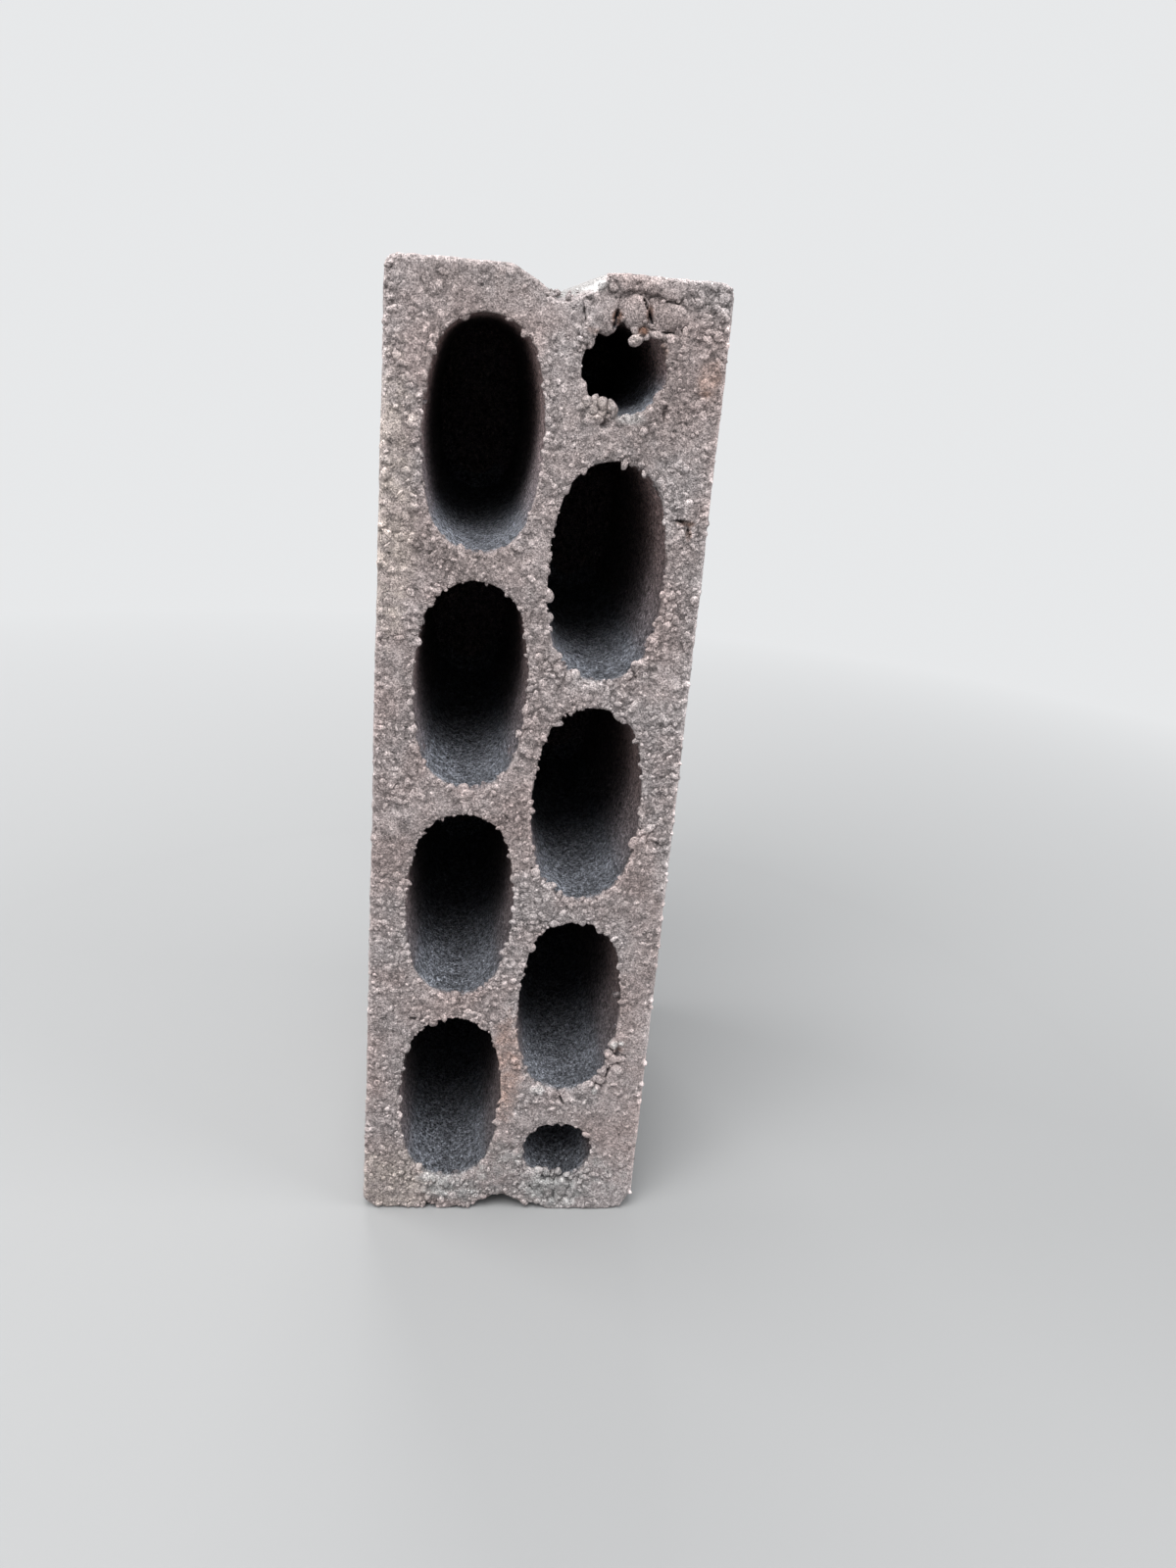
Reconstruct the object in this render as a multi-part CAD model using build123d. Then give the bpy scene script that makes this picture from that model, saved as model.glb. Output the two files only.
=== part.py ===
# Hollow concrete block, pressed in one piece in a steel mould, standing on its end.
# Millimetres, +Z up. The voids open towards -Y, and the closed face looks towards +Y.
# The origin is the middle of the end that the block stands on.

import os
from math import cos, radians, tan

from build123d import *

# Outside of the block
block_length = 390.0
block_width = 120.0
block_depth = 188.0
corner_radius = 5.0          # the four edges that run from the open face to the closed one
open_arris_radius = 3.0      # worn arris round the open face
closed_arris_bevel = 1.5     # arris round the closed face

# Walls between and round the voids
side_wall = 14.0             # from a long side to the nearest void
end_wall = 16.0              # from an end to the first void of the full row
web_wall = 10.0              # between two voids of one row
row_gap = 4.0                # between the inner sides of the two staggered rows
closed_wall = 20.0           # left behind the floors of the voids

# Voids: four-arc ovals, and a round one at each end of the short row
full_row_count = 4
oval_side_radius = 101.0     # the long, flat arcs of the oval
round_void_diameter = 31.0
void_draft = 1.2             # degrees, so that the cores draw out of the pressed block
floor_bevel = 6.0            # between a void's wall and its floor
mouth_bevel = 1.5            # worn rim of each void

# Groove down the middle of each end, for mortar
groove_depth = 7.5
groove_flank_angle = 28.0    # degrees from the end face
groove_bottom_radius = 10.0
groove_lip_radius = 10.0

# Sizes that follow from those above
front = -block_depth / 2
back = block_depth / 2
void_depth = block_depth - closed_wall
oval_width = (block_width - 2 * side_wall - row_gap) / 2
oval_length = (block_length - 2 * end_wall - (full_row_count - 1) * web_wall) / full_row_count
oval_pitch = oval_length + web_wall
row_offset = (row_gap + oval_width) / 2
short_row_count = full_row_count - 1
short_row_end = (short_row_count * oval_length + (short_row_count - 1) * web_wall) / 2
round_void_offset = (short_row_end + block_length / 2) / 2


def groove_profile():
    """Half the mouth of an end groove, and its depth down to where its flanks would meet."""
    angle = radians(groove_flank_angle)
    sharp_depth = groove_depth + groove_bottom_radius * (1 / cos(angle) - 1)
    half_mouth = sharp_depth / tan(angle)
    return half_mouth, sharp_depth


def corners_at(face, distance):
    """The sharp corners of a flat face that stand this far to the left or right of its middle."""
    return face.vertices().filter_by(lambda corner: abs(abs(corner.X) - distance) < 0.001)


def outline():
    """The block seen from its open face: a rectangle with round corners and a groove in each end."""
    half_mouth, sharp_depth = groove_profile()
    half_width = block_width / 2
    bottom_points = [
        (-half_width, 0),
        (-half_mouth, 0),
        (0, sharp_depth),
        (half_mouth, 0),
        (half_width, 0),
    ]
    top_points = [(-x, block_length - z) for x, z in bottom_points]
    face = make_face(Polyline(*bottom_points, *top_points, close=True))
    for distance, radius in (
        (half_width, corner_radius),
        (half_mouth, groove_lip_radius),
        (0, groove_bottom_radius),
    ):
        face = fillet(corners_at(face, distance), radius)
    return face


def oval(inset):
    """An oval void's mouth, drawn in by the inset: two flat side arcs, tangent to two round end arcs."""
    a = oval_length / 2 - inset
    b = oval_width / 2 - inset
    side_radius = oval_side_radius - inset
    end_radius = (a * a + b * b - 2 * side_radius * b) / (2 * (a - side_radius))
    reach = side_radius / (side_radius - end_radius)
    tangent_x = (b - side_radius) + (side_radius - b) * reach
    tangent_z = (a - end_radius) * reach
    right = ThreePointArc((tangent_x, -tangent_z), (b, 0), (tangent_x, tangent_z))
    top = ThreePointArc((tangent_x, tangent_z), (0, a), (-tangent_x, tangent_z))
    left = ThreePointArc((-tangent_x, tangent_z), (-b, 0), (-tangent_x, -tangent_z))
    bottom = ThreePointArc((-tangent_x, -tangent_z), (0, -a), (tangent_x, -tangent_z))
    return make_face([right, top, left, bottom])


def round_mouth(inset):
    """The mouth of a round void, drawn in by the inset."""
    return Circle(round_void_diameter / 2 - inset)


def core(mouth):
    """The mould core of one void: a bevelled rim, walls that narrow by the draft, and a bevelled floor."""
    draft = tan(radians(void_draft))
    wall_depth = void_depth - floor_bevel
    sections = (
        (0, -mouth_bevel),
        (mouth_bevel, mouth_bevel * draft),
        (wall_depth, wall_depth * draft),
        (void_depth, wall_depth * draft + floor_bevel),
    )
    faces = [Plane.XZ.offset(-front - depth) * mouth(inset) for depth, inset in sections]
    return loft(faces, ruled=True)


def row_of(shape, x, middle, count, pitch):
    """Copies of a shape in an upright row, centred on the height given."""
    first = middle - (count - 1) / 2 * pitch
    return [Pos(x, 0, first + i * pitch) * shape for i in range(count)]


def voids():
    """The staggered rows: ovals alone on the left, and ovals between two round voids on the right."""
    middle = block_length / 2
    oval_core = core(oval)
    round_core = core(round_mouth)
    cores = row_of(oval_core, -row_offset, middle, full_row_count, oval_pitch)
    cores += row_of(oval_core, row_offset, middle, short_row_count, oval_pitch)
    cores += row_of(round_core, row_offset, middle, 2, 2 * round_void_offset)
    return cores


def concrete_block():
    """The pressed block, with its voids and its worn arrises."""
    block = extrude(Plane.XZ.offset(-back) * outline(), amount=block_depth)
    open_face = block.faces().sort_by(Axis.Y)[0]
    block = fillet(open_face.edges(), open_arris_radius)
    closed_face = block.faces().sort_by(Axis.Y)[-1]
    block = chamfer(closed_face.edges(), closed_arris_bevel)
    for void in voids():
        block = block - void
    return block


os.makedirs("parts", exist_ok=True)
export_step(concrete_block(), "parts/concrete_block.step")
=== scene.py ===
from math import cos, pi, radians, sin

import bpy
import numpy as np
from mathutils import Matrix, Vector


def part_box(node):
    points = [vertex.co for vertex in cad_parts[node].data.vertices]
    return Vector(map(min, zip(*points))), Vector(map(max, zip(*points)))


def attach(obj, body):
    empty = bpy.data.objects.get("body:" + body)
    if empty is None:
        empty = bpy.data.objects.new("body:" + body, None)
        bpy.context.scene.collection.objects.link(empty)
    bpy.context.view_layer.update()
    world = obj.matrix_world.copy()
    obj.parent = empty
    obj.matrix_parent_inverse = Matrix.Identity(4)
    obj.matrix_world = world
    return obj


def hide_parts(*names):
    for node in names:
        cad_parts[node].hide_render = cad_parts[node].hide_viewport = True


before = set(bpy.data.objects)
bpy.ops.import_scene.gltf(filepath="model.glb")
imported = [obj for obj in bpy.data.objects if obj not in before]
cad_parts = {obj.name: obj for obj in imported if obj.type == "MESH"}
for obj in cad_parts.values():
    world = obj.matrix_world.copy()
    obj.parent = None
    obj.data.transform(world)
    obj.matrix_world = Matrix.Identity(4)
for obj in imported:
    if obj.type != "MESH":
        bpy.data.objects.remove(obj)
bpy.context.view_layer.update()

import openvdb as vdb
from mathutils import Matrix, Vector
from mathutils.kdtree import KDTree

# The block is rebuilt on a grid of signed distances, in millimetres: below nought in the
# concrete, above nought outside.
MM = 0.001
VOXEL = 0.6                   # the grid's pitch
BAND = 4.8                    # how far from the surface the distances are true
ADAPTIVITY = 0.03             # how much coarser the mesh may be where the surface is flat
MOST_TRIANGLES = 196000       # in the skin
LOW, HIGH = (np.array(corner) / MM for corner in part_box("concrete_block"))
FACE = LOW[1]                 # the open face, which the voids come out of

# Worn, open-textured face
FACE_WEAR = 0.8               # how far the paste lies behind the face's true plane, on average
FACE_DEPTH = 12.6             # how deep behind the plane the coarse texture fades out
PASTE_BLEND = 0.5             # how far the paste bridges the join between two stones
LUMPS = (                     # size and height of the paste's unevenness
    (9.0, 0.18),
    (4.0, 0.18),
    (2.0, 0.14),
)
STONE_KINDS = (               # pitch, least and greatest radius, and how far a stone may lie back
    (6.0, 1.4, 3.0, 1.0),
    (3.2, 0.9, 1.7, 0.9),
)
STONE_FACETS = 9
CRUMB_SIZE = 1.8              # size and height of the crumbs that the rims break into
CRUMB_HEIGHT = 0.25
DRIFT_SIZE = 16.0             # size of the drifts that the gravel lies in

# The top groove's right flank, worn down in front
FLANK_MIDDLE = 5.0
FLANK_REACH = 12.0
FLANK_WEAR = 3.8              # how deep it is worn at the face

# Loose-set stones, each an angular shape of its own. Radii are the least, the greatest and how
# strongly small ones prevail. Flatness is a stone's depth as a share of its width. extra is
# the share of spots held besides the drifts', and recess is in radii.
GRIT = dict(
    pitch=1.75, radii=(0.45, 1.3, 1.6), flatness=1.0, extra=0.3,
    bareness=0.9, deepest=6, inset=1.2, recess=(0.1, 0.6),
)
GRAVEL = dict(
    pitch=2.55, radii=(1.2, 2.8, 2.0), flatness=0.55, extra=0.0,
    bareness=1.0, deepest=4, inset=2.2, recess=(0.0, 0.35),
)
RIM_PITCH = 1.25
RIM_RADII = (0.5, 1.9, 2.2)
RIM_FLATNESS = 0.8
RIM_SHARE = 0.4               # how many of the spots on a void's rim hold a grain
PEBBLE_FLATNESS = 0.8
PEBBLE_SWELL = 1.25           # makes up for what the facets cut off a pebble
TONE_SPREAD = 0.12            # how much the stones' tones differ

# How finely each kind is meshed, its facets, its greatest stretch and how pale it is
STONE_LOOKS = {
    "face_grit": (1, 7, 1.4, 0.0),
    "face_gravel": (2, 7, 1.4, 0.08),
    "rim_grit": (1, 7, 1.3, 0.0),
    "pebbles": (3, 8, 1.15, 0.06),
}

# Painted light and shade: how much paler than the rest some places are, and how much darker in the
# gaps
UPWARD_LIGHT = 0.28                 # painted top light on the face's upward slopes
# painted highlight on the top arris, where light from above falls
TOP_ARRIS_HIGHLIGHT = 0.25
# painted highlight on the right arris, where light from the right falls
RIGHT_ARRIS_HIGHLIGHT = 0.75
LEFT_WALL_LIGHT = 1.5              # painted light from the right on the voids' left walls, near their rims
RIGHT_WALL_LIGHT = 0.9             # painted light from the left on the voids' right walls, near their rims, and by the block's top
GAP_SHADE = 0.3               # painted shade: how much darker the gaps beside larger stones are

# Texture of the finish: how many lumps, facets or holes of each kind there are to the metre
FINE_SCALE = 1900
SCRATCH_SCALE = 1600
GRIT_SCALE = 1200
SAND_SCALE = 620
CRUMB_SCALE = 420
UNEVEN_SCALE = 230
PATCH_SCALE = 28
PIT_SCALE = 170               # the holes in the outside
PIT_WIDTH = 2.0
PORE_SCALE = 240              # the holes in the open face
PORE_WIDTH = 1.5
CREVICE_SWIRL = 0.0009        # how far the joins between crumbs are bent, in metres
DRAWN_OUT = (1.0, 0.6, 1.0)   # sand and scratches are drawn out along the voids

# Colours, as linear light
WARM_PASTE = (0.385, 0.313, 0.3, 1)
PALE_PASTE = (0.41, 0.365, 0.36, 1)
# The voids' walls: painted shade on their sides and painted bluish skylight on their lower walls
WALL_SIDE_SHADED = (0.24, 0.175, 0.168, 1)
WALL_LOWER_SKYLIT = (0.24, 0.252, 0.285, 1)
OUTSIDE = (0.31, 0.29, 0.282, 1)
OUTSIDE_PALE = (0.38, 0.366, 0.357, 1)
PEACH = (0.41, 0.285, 0.243)
RUST = (0.13, 0.065, 0.042)
PEBBLE = (0.56, 0.54, 0.53)
DUST = (0.46, 0.455, 0.45)
CREAM = (0.47, 0.40, 0.36)
ASH = (0.36, 0.352, 0.345)
# a painted highlight: the top groove's flank as the sky lights it
SKYLIT_WHITE = (0.78, 0.76, 0.75)
SHADED = (0.30, 0.25, 0.24)

# Damage on the open face, in millimetres across and up it. A bite is a middle and its reach
# across, deep and up.
BITES = (
    ((-59.5, -0.5), (4.5, 9, 4.5)),
    ((-31, -1), (3, 12, 3.6)),
    ((-18.5, -1.5), (3.2, 12, 3.6)),
    ((-8, -1), (6, 12, 5)),
    ((15, -1.5), (6, 9, 5)),
    ((62, -3), (8, 16, 11)),
    ((26.5, 378), (17, 3.2, 8.5)),
    ((24, 374.5), (6, 6, 1.8)),
    ((34.5, 369), (3.5, 4, 3)),
    ((43.5, 80), (4.5, 4, 8)),
    ((39, 67), (4.5, 3, 4)),
    ((48.5, 183.5), (3.5, 2, 3.5)),
    ((25, 14), (13, 2.8, 6)),
    ((26, 8), (14, 2, 6.5)),
    ((18.6, 340), (2.4, 3.5, 2.2)),
    ((39.6, 345), (1.2, 2, 2.4)),
    ((36, 251), (3, 2, 3)),
)

# A slit is its two ends, its width and its depth.
SLITS = (
    ((20.3, 382.5), (19.9, 377.5), 1.9, 5),
    ((19.9, 377.5), (19.3, 373), 2.6, 8),
    ((28.6, 382), (31, 377.5), 1.4, 5),
    ((31, 377.5), (32.2, 375), 2.2, 8),
    ((29.5, 372.9), (40, 371.8), 1.2, 4),
    ((8.6, 381), (8.2, 377.5), 1.2, 3),
    ((8.2, 377.5), (9, 374), 1.4, 3),
    ((22.6, 384.6), (27, 383.6), 1, 3),
    ((29, 384), (33.8, 383.2), 1, 3),
    ((36, 382.2), (40.8, 381.8), 1, 3),
    ((43.6, 374.6), (42, 371.4), 1.4, 5),
    ((-5, 380.2), (-2.8, 381.2), 1, 3),
    ((2.6, 367.6), (3.9, 368.4), 1.3, 3),
    ((6.8, 363.5), (7.6, 364), 1.3, 3),
    ((45.5, 187), (50, 183.2), 1.2, 5),
    ((50, 183.2), (54.5, 180.2), 1, 4),
    ((50, 183), (49.4, 179.6), 1, 4),
    ((36, 252.5), (38.5, 248.6), 1, 3),
    ((-1.9, 198), (-0.7, 194.6), 1.1, 5),
    ((4.2, 168), (4.8, 163), 1.1, 4),
    ((-42, 97.2), (-38, 96.6), 1.1, 3),
    ((46.5, 309.2), (51, 308), 1, 3),
    ((51, 308), (53.5, 303), 1, 3),
    ((44.2, 75.2), (42.2, 69.8), 1.3, 6),
    ((45.5, 82.2), (50.5, 80.6), 1, 4),
    ((21.6, 62.6), (25.2, 56), 1.2, 6),
    ((-27.6, 17.4), (-26.6, 15.2), 1.1, 4),
    ((13.2, 12.4), (13.6, 10.6), 1.3, 4),
    ((18.5, 9), (22, 5), 1, 3),
    ((-8.6, 191), (-6.8, 188.6), 1, 3),
)

# A lump is its middle and its reach across and up.
LUMP_FRONT = 0.4              # how far its middle lies behind the true plane
LUMP_DEPTH = 5.0
LUMP_SIDES = 7
LUMP_DOME = 0.32              # how far its edge lies behind its middle, as a share of its reach
LUMPS_OF_PASTE = (
    ((15.4, 376.6), (7.2, 8)),
    ((26.2, 378), (5.6, 6.8)),
    ((38.2, 377.6), (7.6, 5.4)),
    ((22, 387), (3.4, 3)),
    ((31.1, 386.6), (4, 3)),
    ((38, 384.8), (4.4, 2.4)),
    ((34.6, 371.4), (4.8, 1.8)),
    ((9.8, 371.6), (1.9, 3)),
    ((40, 366), (2.8, 3.4)),
    ((9.2, 351), (2.4, 3.4)),
    ((46.5, 374), (3, 3.6)),
    ((15.4, 15), (3.2, 4.8)),
    ((21.2, 10.4), (2.8, 6.6)),
    ((27.4, 10.8), (3.2, 6.2)),
    ((33.8, 10.2), (3.4, 5.4)),
    ((14.6, 6.4), (4.2, 3.8)),
    ((22.6, 3.6), (4.6, 2.6)),
    ((31.4, 3.4), (4.4, 2.4)),
)

# A pebble is its middle, its radius and how far behind the true plane its front lies.
PEBBLES = (
    ((26.6, 372.4), 1.6, 0.9),
    ((28.8, 371.4), 1.8, 0.8),
    ((27, 369.4), 2.2, 0.6),
    ((30.4, 370.6), 1.3, 1),
    ((11.8, 347.4), 2.2, 0.3),
    ((14.6, 347.9), 1.8, 0.2),
    ((17.1, 347.1), 2, 0),
    ((20.2, 346.7), 2, 0.2),
    ((21.4, 344.4), 1.6, 0.5),
    ((12, 342.6), 2.4, 0.4),
    ((15.6, 341.8), 2, 0.4),
    ((9.6, 345.2), 1.6, 0.3),
    ((17, 344.2), 1.8, 0.6),
    ((38.6, 348.8), 1.6, 0.2),
    ((36.6, 345.6), 1.9, 0.2),
    ((42, 343.4), 2, 0.4),
    ((40.5, 351.5), 1.5, 0.5),
    ((49.8, 186.8), 2.3, 0.1),
    ((47.6, 181), 2.2, 0.3),
    ((52.4, 182.6), 1.6, 0.3),
    ((38.2, 253), 1.8, 0.3),
    ((35, 248.6), 1.6, 0.3),
    ((28.8, 246.2), 1.3, 0),
    ((15, 248), 2, 0.2),
    ((44.6, 86.4), 2.4, 0),
    ((47.8, 87.4), 1.4, 0.1),
    ((42.4, 81.4), 1.9, 0.6),
    ((45.2, 79.2), 2.2, 0.4),
    ((48, 79), 2.2, 0.3),
    ((47.2, 73.6), 2.6, 0.2),
    ((47, 70.6), 2.4, 0.3),
    ((43.2, 77), 1.5, 0.6),
    ((40.8, 72.8), 1.7, 0.6),
    ((40.4, 68.4), 1.9, 0.4),
    ((38.5, 63.2), 2.1, 0),
    ((36.2, 66.4), 1.6, 0.4),
    ((34, 65.2), 1.8, 0.4),
    ((34.2, 62.6), 1.5, 0.4),
    ((14.6, 62.2), 2, 0.2),
    ((12.2, 63.2), 2, 0.1),
    ((-44.8, 35.2), 1.4, 0.2),
    ((-48, 35.4), 1.3, 0.1),
    ((-5, 224), 1.3, 0.1),
    ((11.6, 18.6), 2.3, 0.6),
    ((15, 17.6), 2.3, 0.8),
    ((17, 20.8), 1.7, 0.3),
    ((16.4, 18.6), 1.9, 0.2),
    ((20, 18), 2.2, 1.4),
    ((23.4, 17.2), 2.2, 1.6),
    ((25.4, 19.2), 1.6, 1.2),
    ((29.6, 17.6), 1.4, 1.6),
    ((35.8, 14.8), 1.7, 0.5),
    ((12.4, 9.4), 1.8, 0.5),
    ((18.8, 13.4), 1.9, 0.4),
    ((24.4, 12.4), 2.1, 0.6),
    ((29.4, 13), 1.7, 0.5),
    ((21.4, 7.8), 2, 0.3),
    ((26.4, 6.6), 1.8, 0.3),
    ((31.6, 8.4), 2.1, 0.4),
    ((17.2, 4.4), 1.5, 0.3),
    ((35.6, 10.2), 1.5, 0.4),
    ((24, 2.8), 1.4, 0.4),
)

# Stains and patches of painted shade or light: middle, reach across and up, colour, strength.
STAINS_AND_PAINTED_LIGHT = (
    ((36, 352), (28, 46), SHADED, 0.35),
    ((22, 352), (26, 44), SHADED, 0.6),
    ((-30, 292), (26, 15), SHADED, 0.9),
    ((-28, 384), (32, 15), SHADED, 0.7),
    ((0, 20), (70, 22), ASH, 0.45),
    ((-48, 14), (24, 26), CREAM, 0.6),
    ((-1, 74), (9, 36), PEACH, 0.65),
    ((54, 358.5), (6, 9), PEACH, 0.6),
    ((53, 353), (5, 1.2), RUST, 0.5),
    ((50.5, 308), (5.5, 1.6), RUST, 0.6),
    ((52.5, 304), (1.6, 4), RUST, 0.5),
    ((24, 10), (18, 12), ASH, 0.7),
    ((15.6, 16), (2.8, 4), PEBBLE, 0.5),
    ((-32, 17), (6, 2.6), PEBBLE, 0.7),
    ((-22, 11), (16, 8), DUST, 0.5),
    ((27, 343), (7, 2.8), ASH, 0.5),
    # painted highlight on the upper left, where light from the left falls
    ((-56, 305), (12, 66), CREAM, 0.7),
    ((16, 345.5), (8, 4.6), CREAM, 0.3),
    ((27, 369), (2.6, 2.4), CREAM, 0.4),
    ((29.2, 372.2), (2.6, 2), RUST, 0.9),
    ((19.8, 375.8), (2.4, 3.4), RUST, 0.85),
    ((30.8, 378), (1.8, 3.4), RUST, 0.75),
    ((36, 366), (3, 4), RUST, 0.45),
    ((12, 371), (2.6, 1.8), RUST, 0.45),
    ((46.6, 84), (3.4, 1.6), RUST, 0.6),
    ((44.6, 86.4), (2.6, 2.6), PEBBLE, 0.6),
    ((47.8, 87.4), (1.6, 1.6), PEBBLE, 0.8),
    ((38.5, 63.2), (2.4, 2.4), PEBBLE, 0.7),
    ((13.2, 62.7), (4.6, 2.8), PEBBLE, 0.5),
    # painted highlight on the top groove's worn right flank, lit by the sky
    ((5, 386.5), (12, 4.5), SKYLIT_WHITE, 0.95),
)

# A place is its middle, its reach across and up, and how many times as much gravel as elsewhere
# lies there.
GRAVEL_PLACES = (
    ((47, 235), (14, 88), 1.9),
    ((54, 45), (16, 78), 0),
    ((30, 48), (22, 14), 0.3),
    ((-1, 74), (9, 44), 0.2),
    ((-50, 335), (20, 80), 0.5),
    ((-22, 384), (34, 16), 0.2),
    ((26, 344), (8, 4), 0.2),
    ((24, 9), (17, 11), 0.1),
    ((5, 386), (11, 6), 0),
    ((30, 334), (24, 7), 0.4),
)

# Camera, fitted to the photograph: millimetres and degrees
CAMERA_PLACE = (-29.87, -533.9, 369.26)
CAMERA_PAN = -6.924
CAMERA_DIP = 20.311           # how far it looks down
CAMERA_ROLL = 5.01
CAMERA_LENS = 27.75
CAMERA_SENSOR = 36

# Stage
FLOOR = (0.31, 0.31, 0.31, 1)
FLOOR_SHADE = (0.25, 0.25, 0.25, 1)
FLOOR_SIZE = 4                # metres from its middle to each side
FLOOR_FADE = (0.35, 1.1)      # metres from the middle where it turns into the backdrop
BACKDROP = (0.80, 0.81, 0.82, 1)
SKY = (0.9, 0.95, 1.0, 1)
SKY_STRENGTH = 0.5

# A lamp is its name, its place and its target in metres, its side and its power.
LAMPS = (
    ("top", (-0.4, -0.85, 1.65), (0, 0, 0.2), 1.1, 36),
    ("front", (-1.2, -0.9, 0.3), (0, 0, 0.1), 0.9, 8.5),
    ("right", (1.2, -0.5, 0.9), (0, 0, 0.2), 0.9, 10),
    ("left", (-1.2, 0.3, 0.9), (0, 0, 0.25), 0.7, 10),
    ("behind", (-0.2, 1.3, 0.9), (0, 0, 0.3), 0.7, 12),
)

rng = np.random.default_rng(39)


def grid_axes(low, counts):
    """The millimetres of each grid plane along X, Y and Z."""
    return [(low[i] + np.arange(counts[i])) * VOXEL for i in range(3)]


def block_distances():
    """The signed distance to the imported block, on a dense grid, with the grid's lowest index."""
    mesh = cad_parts["concrete_block"].data
    points = np.zeros(len(mesh.vertices) * 3, np.float32)
    mesh.vertices.foreach_get("co", points)
    mesh.calc_loop_triangles()
    corners = np.zeros(len(mesh.loop_triangles) * 3, np.int32)
    mesh.loop_triangles.foreach_get("vertices", corners)
    level_set = vdb.FloatGrid.createLevelSetFromPolygons(
        points.reshape(-1, 3) / MM,
        triangles=corners.reshape(-1, 3).astype(np.uint32),
        transform=vdb.createLinearTransform(voxelSize=VOXEL),
        halfWidth=BAND / VOXEL,
    )
    low, high = level_set.evalActiveVoxelBoundingBox()
    counts = [high[i] - low[i] + 1 for i in range(3)]
    field = np.zeros(counts, np.float32)
    level_set.copyToArray(field, ijk=low)
    return field, low


def blend_weights(places, size):
    """For each place along an axis, the cubic weights of the noise lattice's planes around it."""
    steps = (places - places[0]) / size
    first = np.floor(steps).astype(int)
    t = steps - first
    taps = (
        (1 - t) ** 3 / 6,
        (3 * t ** 3 - 6 * t ** 2 + 4) / 6,
        (-3 * t ** 3 + 3 * t ** 2 + 3 * t + 1) / 6,
        t ** 3 / 6,
    )
    weights = np.zeros((len(places), first[-1] + 4), np.float32)
    for k, tap in enumerate(taps):
        weights[np.arange(len(places)), first + k] = tap
    return weights


def noise(axes, size):
    """Smooth random values with a spread of one and lumps of this size, on the axes' grid."""
    x, y, z = (blend_weights(places, size) for places in axes)
    lattice = rng.standard_normal((x.shape[1], y.shape[1], z.shape[1])).astype(np.float32)
    values = np.tensordot(lattice, z, axes=(2, 1))
    values = np.tensordot(values, y, axes=(1, 1)).transpose(0, 2, 1)
    values = np.tensordot(x, values, axes=(1, 0))
    return values / values.std()


def smooth_least(a, b, width):
    """The smaller of two distances, with a fillet of about this width where they meet."""
    share = np.clip(0.5 + 0.5 * (b - a) / width, 0, 1)
    return b + (a - b) * share - width * share * (1 - share)


def smooth_most(a, b, width):
    """The larger of two distances, with a rounded arris of about this width where they meet."""
    return -smooth_least(-a, -b, width)


def fade(values, start, end):
    """1 before start, 0 past end, and smooth between them."""
    t = np.clip((values - start) / (end - start), 0, 1)
    return 1 - t * t * (3 - 2 * t)


def away_from(x, z, middle, reach):
    """How far spots of the face lie from a middle: 1 at its reach across and up."""
    return np.hypot((x - middle[0]) / reach[0], (z - middle[1]) / reach[1])


def grid_sum(a, b, c):
    """The sum of the three axes' values at each place of the grid that they span."""
    return a[:, None, None] + b[None, :, None] + c[None, None, :]


def window(axes, centre, reach):
    """The slices of the grid that hold a ball, and the offsets from its centre."""
    slices = []
    offsets = []
    for places, middle, far in zip(axes, centre, np.broadcast_to(reach, 3)):
        first = int(np.searchsorted(places, middle - far))
        last = int(np.searchsorted(places, middle + far))
        slices.append(slice(first, last))
        offsets.append(places[first:last] - middle)
    return tuple(slices), offsets


def stone_distance(offsets, radius):
    """The distance to one angular stone of random facets."""
    normals = rng.normal(size=(STONE_FACETS, 3))
    normals /= np.linalg.norm(normals, axis=1)[:, None]
    reach = radius * rng.uniform(0.72, 1.0, STONE_FACETS)
    dx, dy, dz = offsets
    distance = np.sqrt(grid_sum(dx ** 2, dy ** 2, dz ** 2)) - radius
    for (nx, ny, nz), far in zip(normals, reach):
        np.maximum(distance, grid_sum(nx * dx, ny * dy, nz * dz) - far, out=distance)
    return distance


def add_stones(part, near, profile, drifts, pitch, least, greatest, recess):
    """Sets angular stones into the open face's paste, most of them by the voids and in drifts."""
    for row in np.arange(LOW[2], HIGH[2], pitch):
        for column in np.arange(LOW[0], HIGH[0], pitch):
            radius = least + (greatest - least) * rng.random() ** 2
            centre = np.array((
                column + rng.uniform(-0.5, 0.5) * pitch,
                FACE + 0.95 * radius + recess * rng.random() ** 1.5,
                row + rng.uniform(-0.5, 0.5) * pitch,
            ))
            i, k = (
                int(np.clip(round((centre[a] - near[a][0]) / VOXEL), 0, len(near[a]) - 1))
                for a in (0, 2)
            )
            if profile[i, k] > 0.4 - 0.9 * radius or rng.random() > 0.25 + drifts[i, k]:
                continue
            slices, offsets = window(near, centre, radius + PASTE_BLEND + VOXEL)
            piece = part[slices]
            piece[...] = smooth_least(piece, stone_distance(offsets, radius), PASTE_BLEND)


def smooth_ball(offsets, reach):
    """About how far each spot of a window is from an ellipsoid."""
    dx, dy, dz = (part / far for part, far in zip(offsets, reach))
    return (np.sqrt(grid_sum(dx ** 2, dy ** 2, dz ** 2)) - 1) * min(reach)


def bite(part, near, lumps, middle, reach):
    """Breaks a rough hollow out of the face."""
    centre = (middle[0], FACE, middle[1])
    slices, offsets = window(near, centre, np.array(reach) * 1.4 + 1)
    hollow = smooth_ball(offsets, reach) + 1.5 * lumps[slices]
    piece = part[slices]
    piece[...] = smooth_most(piece, -hollow, 0.6)


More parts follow.
